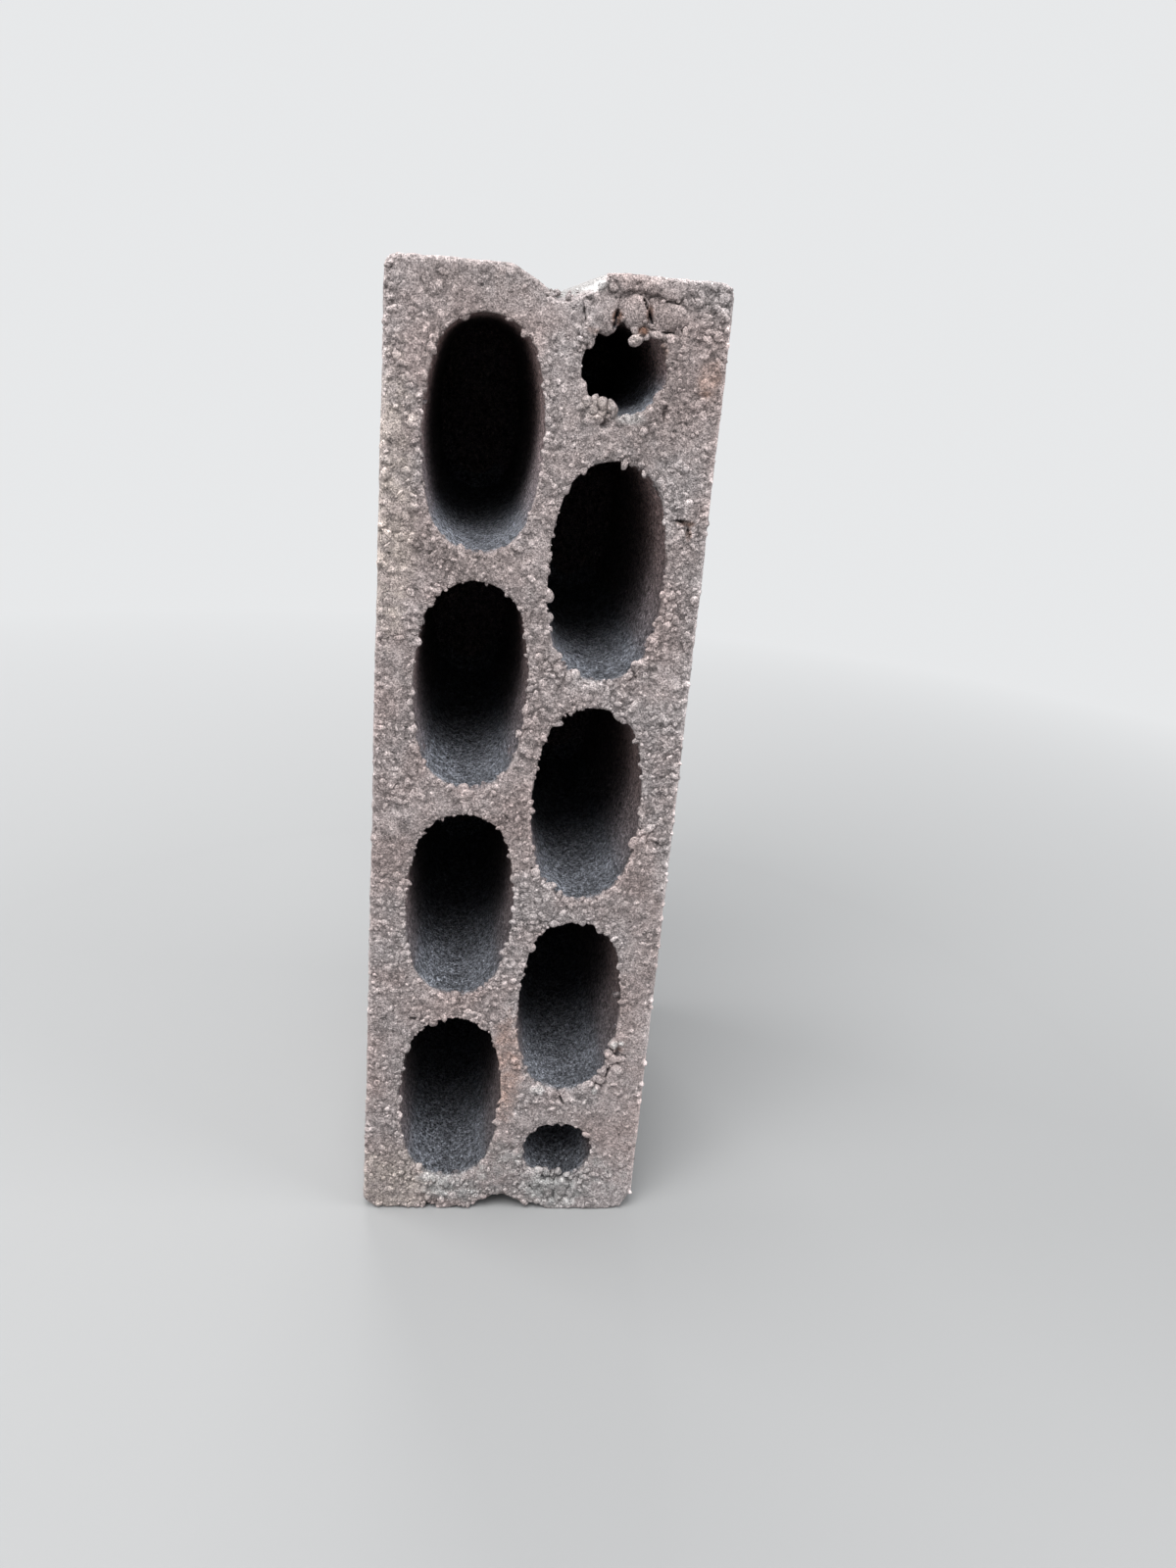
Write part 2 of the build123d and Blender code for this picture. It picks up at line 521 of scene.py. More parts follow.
def slit(part, near, lumps, start, end, width, depth):
    """Cuts a crack into the face, narrower with depth."""
    start, end = np.array(start), np.array(end)
    middle = (start + end) / 2
    far = np.abs(end - start) / 2 + width + 2
    slices, (dx, dy, dz) = window(near, (middle[0], FACE, middle[1]), (far[0], depth + 2, far[1]))
    along = end - start
    px, pz = dx[:, None] + middle[0] - start[0], dz[None, :] + middle[1] - start[1]
    share = np.clip((px * along[0] + pz * along[1]) / (along @ along), 0, 1)
    away = np.hypot(px - share * along[0], pz - share * along[1])[:, None, :]
    half = width / 2 * (1 - np.clip(dy, 0, None) / depth)[None, :, None]
    gap = away - half + 0.5 * lumps[slices]
    piece = part[slices]
    piece[...] = np.maximum(piece, -gap)


def lump(part, near, lumps, middle, reach):
    """Raises a lump of paste with an angular outline and a rounded shoulder."""
    centre = (middle[0], FACE + LUMP_FRONT, middle[1])
    far = (1.3 * reach[0] + 1, LUMP_DEPTH + 1, 1.3 * reach[1] + 1)
    slices, (dx, dy, dz) = window(near, centre, far)
    outline = -np.ones((len(dx), 1, len(dz)))
    for turn in np.arange(LUMP_SIDES) + rng.uniform(-0.35, 0.35, LUMP_SIDES) + rng.random():
        angle = 2 * pi * turn / LUMP_SIDES
        across, up = cos(angle) * dx / reach[0], sin(angle) * dz / reach[1]
        side = across[:, None, None] + up[None, None, :] - rng.uniform(0.8, 1.05)
        np.maximum(outline, side, out=outline)
    dome = ((dx / reach[0]) ** 2)[:, None, None] + ((dz / reach[1]) ** 2)[None, None, :]
    front = LUMP_DOME * min(reach) * dome - dy[None, :, None]
    chunk = smooth_most(outline * min(reach), front, 0.3 * min(reach))
    chunk = np.maximum(chunk, dy[None, :, None] - LUMP_DEPTH)
    piece = part[slices]
    piece[...] = smooth_least(piece, chunk + 0.7 * lumps[slices], 0.4)


def worn_flank(part, near, profile, lumps):
    """Wears the top groove's right flank down towards the open face."""
    x, z = near[0][:, None, None], near[2][None, None, :]
    depth = (near[1] - FACE)[None, :, None]
    worn = fade(np.abs(x - FLANK_MIDDLE), 0.45 * FLANK_REACH, FLANK_REACH)
    worn = worn * (1 - fade(z, HIGH[2] - 14, HIGH[2] - 11))
    slope = FLANK_WEAR * worn * (1 - depth / FACE_DEPTH)
    flank = profile[:, None, :] + slope + 0.5 * worn * lumps
    part[...] = smooth_most(part, flank.astype(np.float32), 0.5)


def damage(part, near, lumps):
    """The broken places of the open face."""
    for middle, reach in BITES:
        bite(part, near, lumps, middle, reach)
    for middle, reach in LUMPS_OF_PASTE:
        lump(part, near, lumps, middle, reach)
    for start, end, width, depth in SLITS:
        slit(part, near, lumps, start, end, width, depth)


def arris_widths(near, profile):
    """How wide the worn arris is at each spot: soft down both long sides and under each void."""
    x, z = near[0][:, None], near[2][None, :]
    rise = np.gradient(profile, VOXEL, axis=1)
    inset = np.minimum(np.minimum(x - LOW[0], HIGH[0] - x), np.minimum(z - LOW[2], HIGH[2] - z))
    rims = 1.0 + 3.4 * np.clip(rise, 0, 1) ** 2
    left = 3.2 * fade(x - LOW[0], 4, 12)
    right = fade(HIGH[0] - x, 4, 12) * (1.8 + 2.0 * fade(z, 100, 180))
    return rims + (1.3 + left + right - rims) * fade(inset, 6, 10)


def gravel_drifts(near, profile):
    """The share of each spot of the face that gravel covers: most by the voids."""
    x, z = near[0][:, None], near[2][None, :]
    drifts = noise([near[0], near[1][:4], near[2]], DRIFT_SIZE)[:, 0, :]
    share = 0.26 + 0.5 * fade(-profile, 1.5, 6.5) + 0.16 * drifts
    for middle, reach, times in GRAVEL_PLACES:
        share = share * (1 + (times - 1) * fade(away_from(x, z, middle, reach), 0.7, 1.1))
    return np.clip(share, 0.02, 0.95)


def worn_face(field, axes):
    """Cuts the open face afresh, rough and unevenly worn, with stones set in its paste."""
    rows = int(np.searchsorted(axes[1], FACE + FACE_DEPTH))
    near = [axes[0], axes[1][:rows], axes[2]]
    depth = (near[1] - FACE)[None, :, None]
    profile = field[:, rows, :]
    widths = arris_widths(near, profile)
    drifts = gravel_drifts(near, profile)
    lumps = sum(height * noise(near, size) for size, height in LUMPS)
    lumps = lumps * (0.5 + np.clip(1.2 * drifts, 0, 0.5))[:, None, :].astype(np.float32)
    calm = 1 - 0.6 * fade(HIGH[0] - near[0], 4, 9)[:, None, None]
    teeth = 0.8 * lumps + CRUMB_HEIGHT * noise(near, CRUMB_SIZE)
    rim = profile[:, None, :] + fade(depth, 3, FACE_DEPTH - 1) * calm * teeth
    face = FACE_WEAR + lumps[:, :3, :].mean(axis=1)[:, None, :] - depth
    cut = smooth_most(rim, face.astype(np.float32), widths[:, None, :].astype(np.float32))
    for pitch, least, greatest, recess in STONE_KINDS:
        add_stones(cut, near, profile, drifts, pitch, least, greatest, recess)
    worn_flank(cut, near, profile, lumps)
    damage(cut, near, lumps)
    share = fade(depth, FACE_DEPTH - 5, FACE_DEPTH - 1)
    part = field[:, :rows, :]
    part += share * (cut - part)
    return near, profile, drifts


def new_mesh(name, points, loops, starts):
    """A mesh of points in millimetres. loops are its faces' corners, a face from each start."""
    mesh = bpy.data.meshes.new(name)
    mesh.vertices.add(len(points))
    mesh.vertices.foreach_set("co", (points * MM).astype(np.float32).ravel())
    mesh.loops.add(len(loops))
    mesh.loops.foreach_set("vertex_index", loops.astype(np.int32))
    mesh.polygons.add(len(starts))
    mesh.polygons.foreach_set("loop_start", starts.astype(np.int32))
    mesh.update(calc_edges=True)
    return mesh


def surface(field, low, name):
    """The mesh of the surface where the distance is nought, in metres."""
    grid = vdb.FloatGrid(BAND)
    grid.copyFromArray(field, ijk=low, tolerance=0.0)
    grid.transform = vdb.createLinearTransform(voxelSize=VOXEL)
    points, triangles, quads = grid.convertToPolygons(isovalue=0.0, adaptivity=ADAPTIVITY)
    loops = np.concatenate((triangles.ravel(), quads.ravel()))
    threes = np.arange(len(triangles)) * 3
    fours = len(triangles) * 3 + np.arange(len(quads)) * 4
    return new_mesh(name, points, loops, np.concatenate((threes, fours)))


def mesh_points(mesh):
    """The mesh's vertices, in millimetres."""
    points = np.zeros(len(mesh.vertices) * 3, np.float32)
    mesh.vertices.foreach_get("co", points)
    return points.reshape(-1, 3) / MM


def mesh_normals(mesh):
    """Which way the surface looks at each vertex."""
    normals = np.zeros(len(mesh.vertices) * 3, np.float32)
    mesh.vertex_normals.foreach_get("vector", normals)
    return normals.reshape(-1, 3)


def slimmed(mesh, name):
    """A piece with few enough triangles, most of them kept on the open face."""
    piece = bpy.data.objects.new(name, mesh)
    bpy.context.scene.collection.objects.link(piece)
    modifier = piece.modifiers.new("slim", "DECIMATE")
    modifier.ratio = MOST_TRIANGLES / (len(mesh.loops) - 2 * len(mesh.polygons))
    graph = bpy.context.evaluated_depsgraph_get()
    slim = bpy.data.meshes.new_from_object(piece.evaluated_get(graph))
    piece.modifiers.clear()
    piece.data = slim
    points = np.clip(mesh_points(slim), LOW, HIGH) * MM
    slim.vertices.foreach_set("co", points.astype(np.float32).ravel())
    slim.update()
    return piece


def sampled(field, axes, points):
    """The field's values at points, blended between the grid's corners."""
    first = []
    share = []
    for i, places in enumerate(axes):
        steps = (points[:, i] - places[0]) / (places[1] - places[0])
        steps = np.clip(steps, 0, len(places) - 1.001)
        first.append(np.floor(steps).astype(int))
        share.append(steps - first[-1])
    total = np.zeros(len(points))
    for corner in np.ndindex(2, 2, 2):
        weight = np.prod([s if c else 1 - s for c, s in zip(corner, share)], axis=0)
        total += weight * field[tuple(f + c for f, c in zip(first, corner))]
    return total


def blurred(field, reach):
    """Each value's mean over a cube of this many grid planes each way."""
    width = 2 * reach + 1
    for axis in range(3):
        ends = [(0, 0)] * 3
        ends[axis] = (reach + 1, reach)
        sums = np.cumsum(np.pad(field, ends, "edge"), axis=axis, dtype=np.float64)
        count = field.shape[axis]
        high = np.take(sums, np.arange(width, width + count), axis)
        field = ((high - np.take(sums, np.arange(count), axis)) / width).astype(np.float32)
    return field


def mark(mesh, name, values):
    """Keeps one number for each vertex, for the material to read."""
    attribute = mesh.attributes.new(name, "FLOAT", "POINT")
    attribute.data.foreach_set("value", values.astype(np.float32))


def mark_stains_and_painted_light(mesh, points):
    """Keeps the stains' and painted light's colour for each vertex, with its strength as alpha."""
    front = fade(points[:, 1] - FACE, 5, 11)
    colours = np.zeros((len(points), 4))
    colours[:, :3] = WARM_PASTE[:3]
    for middle, reach, colour, strength in STAINS_AND_PAINTED_LIGHT:
        away = away_from(points[:, 0], points[:, 2], middle, reach)
        share = strength * fade(away, 0.45, 1.1) * front
        rest = colours[:, 3] * (1 - share)
        total = np.maximum(share + rest, 1e-6)
        added = np.array(colour) * share[:, None]
        colours[:, :3] = (added + colours[:, :3] * rest[:, None]) / total[:, None]
        colours[:, 3] = share + rest
    attribute = mesh.attributes.new("stain_and_painted_light", "FLOAT_COLOR", "POINT")
    attribute.data.foreach_set("color", colours.astype(np.float32).ravel())


def wall_share(points):
    """How far each spot is a void's wall and not the face or the outside."""
    lower = [points[:, a] - LOW[a] for a in (0, 2)]
    upper = [HIGH[a] - points[:, a] for a in (0, 1, 2)]
    inset = np.minimum.reduce(lower + upper)
    return (1 - fade(inset, 9, 12)) * (1 - fade(points[:, 1] - FACE, 1.5, 5.5))


def painted_wall_shade(points):
    """Painted shade on the voids' walls: palest a little way in, and in the upper voids."""
    depth = points[:, 1] - FACE
    height = 1.14 - 0.24 * fade(points[:, 2], 60, 300)
    return height * (1 - 0.4 * fade(depth, 6, 26)) * (0.5 + 0.5 * fade(depth, 36, 90))


def painted_light_tones(points, normals):
    """Painted light: how pale each spot is, on the face's arrises and slopes and near the rims."""
    below_top = HIGH[2] - points[:, 2]
    front = fade(points[:, 1] - FACE, 4, 9)
    top = TOP_ARRIS_HIGHLIGHT * fade(below_top, 0.7, 2.6)
    right = RIGHT_ARRIS_HIGHLIGHT * fade(HIGH[0] - points[:, 0], 0.7, 2.8)
    # painted light on the voids' walls near their rims, standing in for light from either side
    left_walls = LEFT_WALL_LIGHT * np.clip(normals[:, 0], 0, 1)
    right_walls = RIGHT_WALL_LIGHT * np.clip(-normals[:, 0], 0, 1) * fade(below_top, 60, 110)
    walls = (left_walls + right_walls) * wall_share(points) * fade(points[:, 1] - FACE, 15, 80)
    return 1 + front * (top + right + UPWARD_LIGHT * normals[:, 2]) + walls


def painted_gap_shade(points, grains):
    """How dark each spot is: painted shade in the narrow gaps beside the larger stones."""
    tree = KDTree(len(grains))
    for n, (across, up, _) in enumerate(grains):
        tree.insert((across, 0, up), n)
    tree.balance()
    tones = np.ones(len(points))
    for n in np.flatnonzero(points[:, 1] < FACE + 5):
        _, nearest, distance = tree.find((points[n, 0], 0, points[n, 2]))
        tones[n] -= GAP_SHADE * fade(distance / grains[nearest][2], 1.0, 1.45)
    return tones


def mark_zones(mesh, field, axes, drifts, grains):
    """Keeps how rough and hollow each spot is, and its painted light and shade, for the material.
    """
    points = mesh_points(mesh)
    rows = int(np.searchsorted(axes[1], FACE + 14))
    near = [axes[0], axes[1][:rows], axes[2]]
    spots = points[:, (0, 2)]
    rough = np.clip(0.3 + 1.5 * drifts[cells_at(near, spots)], 0, 1.4)
    mark(mesh, "rough", rough * (1 - 0.7 * bare_share(spots)))
    # how hollow each spot is, which the material turns into painted shade and highlights
    hollow = sampled(blurred(field[:, :rows, :], 2), near, points)
    hollow[points[:, 1] > FACE + 12] = 0
    mark(mesh, "hollow", hollow)
    mark(mesh, "wall", wall_share(points))
    mark(mesh, "deep", painted_wall_shade(points))
    mark(mesh, "face", fade(points[:, 1] - FACE, 2.5, 8))
    normals = mesh_normals(mesh)
    # painted light on arrises, slopes and walls, and painted shade in the gaps beside stones
    mark(mesh, "tone", painted_light_tones(points, normals) * painted_gap_shade(points, grains))
    mark(mesh, "upward", fade(-normals[:, 2], -0.7, 0.2))
    mark_stains_and_painted_light(mesh, points)


def octahedron(cuts):
    """A unit sphere: an octahedron whose faces are each cut in four, this many times over."""
    ends = [(1, 0, 0), (0, 1, 0), (0, 0, 1), (-1, 0, 0), (0, -1, 0), (0, 0, -1)]
    points = [np.array(end, float) for end in ends]
    triangles = [
        (0, 1, 2), (1, 3, 2), (3, 4, 2), (4, 0, 2),
        (1, 0, 5), (3, 1, 5), (4, 3, 5), (0, 4, 5),
    ]
    for _ in range(cuts):
        halves = {}
        finer = []
        for triangle in triangles:
            middles = []
            for a, b in zip(triangle, triangle[1:] + triangle[:1]):
                edge = (min(a, b), max(a, b))
                if edge not in halves:
                    halves[edge] = len(points)
                    middle = points[a] + points[b]
                    points.append(middle / np.linalg.norm(middle))
                middles.append(halves[edge])
            (a, b, c), (ab, bc, ca) = triangle, middles
            finer += [(a, ab, ca), (ab, b, bc), (ca, bc, c), (ab, bc, ca)]
        triangles = finer
    return np.array(points), np.array(triangles)


def face_heights(field, near):
    """How far behind the true plane the paste lies at each spot, and where there is any."""
    inside = field[:, :len(near[1]), :] < 0
    first = inside.argmax(axis=1)
    found = inside.any(axis=1)
    return near[1][first] - FACE, found


def scattered(pitch):
    """Spots all over the open face, one in each cell of this pitch."""
    columns, rows = (np.arange(LOW[a], HIGH[a], pitch) for a in (0, 2))
    spots = np.stack(np.meshgrid(columns, rows, indexing="ij"), axis=-1).reshape(-1, 2)
    return spots + rng.uniform(-0.5, 0.5, spots.shape) * pitch


def edge_inset(spots):
    """How far each spot lies inside the face's outer edges."""
    across = HIGH[0] - np.abs(spots[:, 0])
    return np.minimum(across, np.minimum(spots[:, 1] - LOW[2], HIGH[2] - spots[:, 1]))


def cells_at(near, spots):
    """The grid's nearest planes to each spot of the face."""
    return tuple(
        np.clip(np.round((spots[:, n] - near[a][0]) / VOXEL).astype(int), 0, len(near[a]) - 1)
        for n, a in enumerate((0, 2))
    )


def random_radii(count, least, greatest, power):
    """Radii between two bounds, most of them near the lower one."""
    return least + (greatest - least) * rng.random(count) ** power


def set_back(spots, depths, clear):
    """The middles of grains, each at least this clear of the face's true plane."""
    return np.stack((spots[:, 0], FACE + np.maximum(depths, clear), spots[:, 1]), axis=1)


def face_grains(surroundings, pitch, radii, flatness, extra, bareness, deepest, inset, recess):
    """Where stones of one kind sit on the open face, how large they are and how flat."""
    heights, found, near, drifts = surroundings
    spots = scattered(pitch)
    cells = cells_at(near, spots)
    share = (extra + drifts[cells]) * (1 - bareness * bare_share(spots))
    held = found[cells] & (heights[cells] < deepest) & (edge_inset(spots) > inset)
    held &= rng.random(len(spots)) < share
    spots, depths = spots[held], heights[cells][held]
    radii = random_radii(len(spots), *radii)
    depths = depths + rng.uniform(*recess, len(spots)) * radii
    return set_back(spots, depths, flatness * radii), radii, flatness


def rim_grains(near, profile):
    """Where grains sit on the rims of the voids, and how large they are."""
    spots = scattered(RIM_PITCH)
    distance = profile[cells_at(near, spots)]
    held = (distance > -2.0) & (distance < -0.2) & (edge_inset(spots) > 6)
    held &= rng.random(len(spots)) < RIM_SHARE
    spots, distance = spots[held], distance[held]
    radii = random_radii(len(spots), *RIM_RADII)
    depths = 0.5 + 4.5 * rng.random(len(spots)) ** 1.5 * fade(-distance, 0.4, 1.6)
    return set_back(spots, depths + 0.6 * radii, radii), radii, RIM_FLATNESS


def named_pebbles():
    """The stones that the photograph shows one by one."""
    spots = np.array([middle for middle, _, _ in PEBBLES])
    radii = np.array([radius for _, radius, _ in PEBBLES])
    depths = np.array([back for _, _, back in PEBBLES]) + 0.85 * radii
    swollen = PEBBLE_SWELL * radii
    return set_back(spots, depths, 0.6 * swollen), swollen, PEBBLE_FLATNESS


def bare_share(spots):
    """How far each spot lies on one of the lumps of paste, which few grains stick to."""
    share = np.zeros(len(spots))
    for middle, reach in LUMPS_OF_PASTE:
        away = away_from(spots[:, 0], spots[:, 1], middle, reach)
        share = np.maximum(share, fade(away, 0.7, 1.0))
    return share


def grain_mesh(name, spots, radii, flatness, cuts, facets, longest, paleness):
    """Angular grains, each a shape of its own, stretched along the face and flattened on it."""
    ball, triangles = octahedron(cuts)
    normals = rng.normal(size=(len(spots), facets, 3))
    normals /= np.linalg.norm(normals, axis=2)[:, :, None]
    reach = rng.uniform(0.45, 0.9, (len(spots), facets))
    facing = np.maximum(np.einsum("gfc,bc->gfb", normals, ball), 0.05)
    lengths = np.minimum((reach[:, :, None] / facing).min(axis=1), 1.0)
    points = ball[None, :, :] * (lengths * radii[:, None])[:, :, None]
    stretch = rng.uniform(1, longest, len(spots))[:, None]
    turn = rng.uniform(0, pi, len(spots))[:, None]
    along = (points[:, :, 0] * np.cos(turn) + points[:, :, 2] * np.sin(turn)) * stretch
    aside = (points[:, :, 2] * np.cos(turn) - points[:, :, 0] * np.sin(turn)) / stretch
    across = along * np.cos(turn) - aside * np.sin(turn)
    up = along * np.sin(turn) + aside * np.cos(turn)
    points = np.stack((across, points[:, :, 1] * flatness, up), axis=2)
    points = np.clip((spots[:, None, :] + points).reshape(-1, 3), LOW, HIGH)
    firsts = np.arange(len(spots)) * len(ball)
    faces = (triangles[None, :, :] + firsts[:, None, None]).reshape(-1, 3)
    mesh = new_mesh(name, points, faces.ravel(), np.arange(len(faces)) * 3)
    tones = np.repeat(np.exp(rng.normal(paleness, TONE_SPREAD, len(spots))), len(ball))
    # random tones, with painted top light on the upper facets
    mark(mesh, "tone", tones * (1 + UPWARD_LIGHT * mesh_normals(mesh)[:, 2]))
    mark(mesh, "wall", wall_share(points))
    mark(mesh, "deep", painted_wall_shade(points))
    for kept, value in (("hollow", 0.1), ("rough", 0.5), ("upward", 0.5), ("face", 1.0)):
        mark(mesh, kept, np.full(len(points), value))
    mark_stains_and_painted_light(mesh, points)
    return mesh


def link(tree, source, target):
    tree.links.new(source, target)


def vector_math(tree, operation, *values):
    """Vectors put together by a sum, a product and so on. Each is a socket or three numbers."""
    node = tree.nodes.new("ShaderNodeVectorMath")
    node.operation = operation
    for value, socket in zip(values, node.inputs):
        if isinstance(value, tuple):
            socket.default_value = value
        else:
            link(tree, value, socket)
    return node.outputs["Value" if operation in ("DOT_PRODUCT", "LENGTH") else "Vector"]


def texture_noise(tree, vector, scale, detail=2.0, roughness=0.5, output="Fac"):
    """Smooth noise whose lumps are this many to the metre."""
    node = tree.nodes.new("ShaderNodeTexNoise")
    node.inputs["Scale"].default_value = scale
    node.inputs["Detail"].default_value = detail
    node.inputs["Roughness"].default_value = roughness
    link(tree, vector, node.inputs["Vector"])
    return node.outputs[output]


def texture_edges(tree, vector, scale, swirl):
    """How far each spot is from the bent joins between crumbs, this many to the metre."""
    bend = texture_noise(tree, vector, 0.7 * scale, output="Color")
    bent = vector_math(tree, "MULTIPLY_ADD", bend, (2 * swirl, 2 * swirl, 2 * swirl), vector)
    node = tree.nodes.new("ShaderNodeTexVoronoi")
    node.feature = "DISTANCE_TO_EDGE"
    node.inputs["Scale"].default_value = scale
    link(tree, bent, node.inputs["Vector"])
    return node.outputs["Distance"]


def texture_facets(tree, vector, scale):
    """The heights, in millimetres, and the tones of tilted facets, this many to the metre."""
    node = tree.nodes.new("ShaderNodeTexVoronoi")
    node.inputs["Scale"].default_value = scale
    link(tree, vector, node.inputs["Vector"])
    offset = vector_math(tree, "SUBTRACT", vector, node.outputs["Position"])
    tilt = vector_math(tree, "SUBTRACT", node.outputs["Color"], (0.5, 0.5, 0.5))
    height = vector_math(tree, "DOT_PRODUCT", offset, tilt)
    split = tree.nodes.new("ShaderNodeSeparateColor")
    link(tree, node.outputs["Color"], split.inputs[0])
    return combined(tree, "DIVIDE", height, MM), split.outputs[0]


def pits(tree, place, scale, width):
    """Small holes in loose groups, at most this wide in millimetres: 1 in a hole and 0 round it."""
    node = tree.nodes.new("ShaderNodeTexVoronoi")
    node.inputs["Scale"].default_value = scale
    link(tree, place, node.inputs["Vector"])
    edge = width / 2 * MM * scale
    groups = texture_noise(tree, place, 0.4 * scale, 3, 0.7)
    reach = ranged(tree, groups, 0.38, 0.62, 0, edge)
    inside = combined(tree, "SUBTRACT", reach, node.outputs["Distance"])
    return ranged(tree, inside, 0, 0.3 * edge, 0, 1)


def spread(tree, value, share, low, high):
    """A factor between two bounds, drawn to 1 where the share is small."""
    factor = combined(tree, "SUBTRACT", ranged(tree, value, 0, 1, low, high), 1.0)
    return combined(tree, "ADD", product(tree, factor, share), 1.0)


def ranged(tree, value, low, high, new_low, new_high):
    """The value carried from one range to another, and held at its ends."""
    node = tree.nodes.new("ShaderNodeMapRange")
    names = ("From Min", "From Max", "To Min", "To Max")
    for name, number in zip(names, (low, high, new_low, new_high)):
        node.inputs[name].default_value = number
    link(tree, value, node.inputs["Value"])
    return node.outputs["Result"]


def combined(tree, operation, a, b):
    """Two values put together by a sum, a product and so on. b may be a number."""
    node = tree.nodes.new("ShaderNodeMath")
    node.operation = operation
    link(tree, a, node.inputs[0])
    if isinstance(b, (int, float)):
        node.inputs[1].default_value = b
    else:
        link(tree, b, node.inputs[1])
    return node.outputs[0]


def product(tree, *values):
    """Several values multiplied. All but the first may be numbers."""
    total = values[0]
    for value in values[1:]:
        total = combined(tree, "MULTIPLY", total, value)
    return total


def scaled(tree, colour, share):
    """The colour made this many times as pale."""
    node = tree.nodes.new("ShaderNodeVectorMath")
    node.operation = "SCALE"
    link(tree, colour, node.inputs[0])
    link(tree, share, node.inputs["Scale"])
    return node.outputs[0]


def mixed(tree, factor, a, b):
    """Colour a turned into colour b by the factor."""
    node = tree.nodes.new("ShaderNodeMix")
    node.data_type = "RGBA"
    for value, socket in ((factor, node.inputs[0]), (a, node.inputs[6]), (b, node.inputs[7])):
        if isinstance(value, (int, float, tuple)):
            socket.default_value = value
        else:
            link(tree, value, socket)
    return node.outputs[2]


def attribute(tree, name):
    node = tree.nodes.new("ShaderNodeAttribute")
    node.attribute_name = name
    return node.outputs["Fac"]


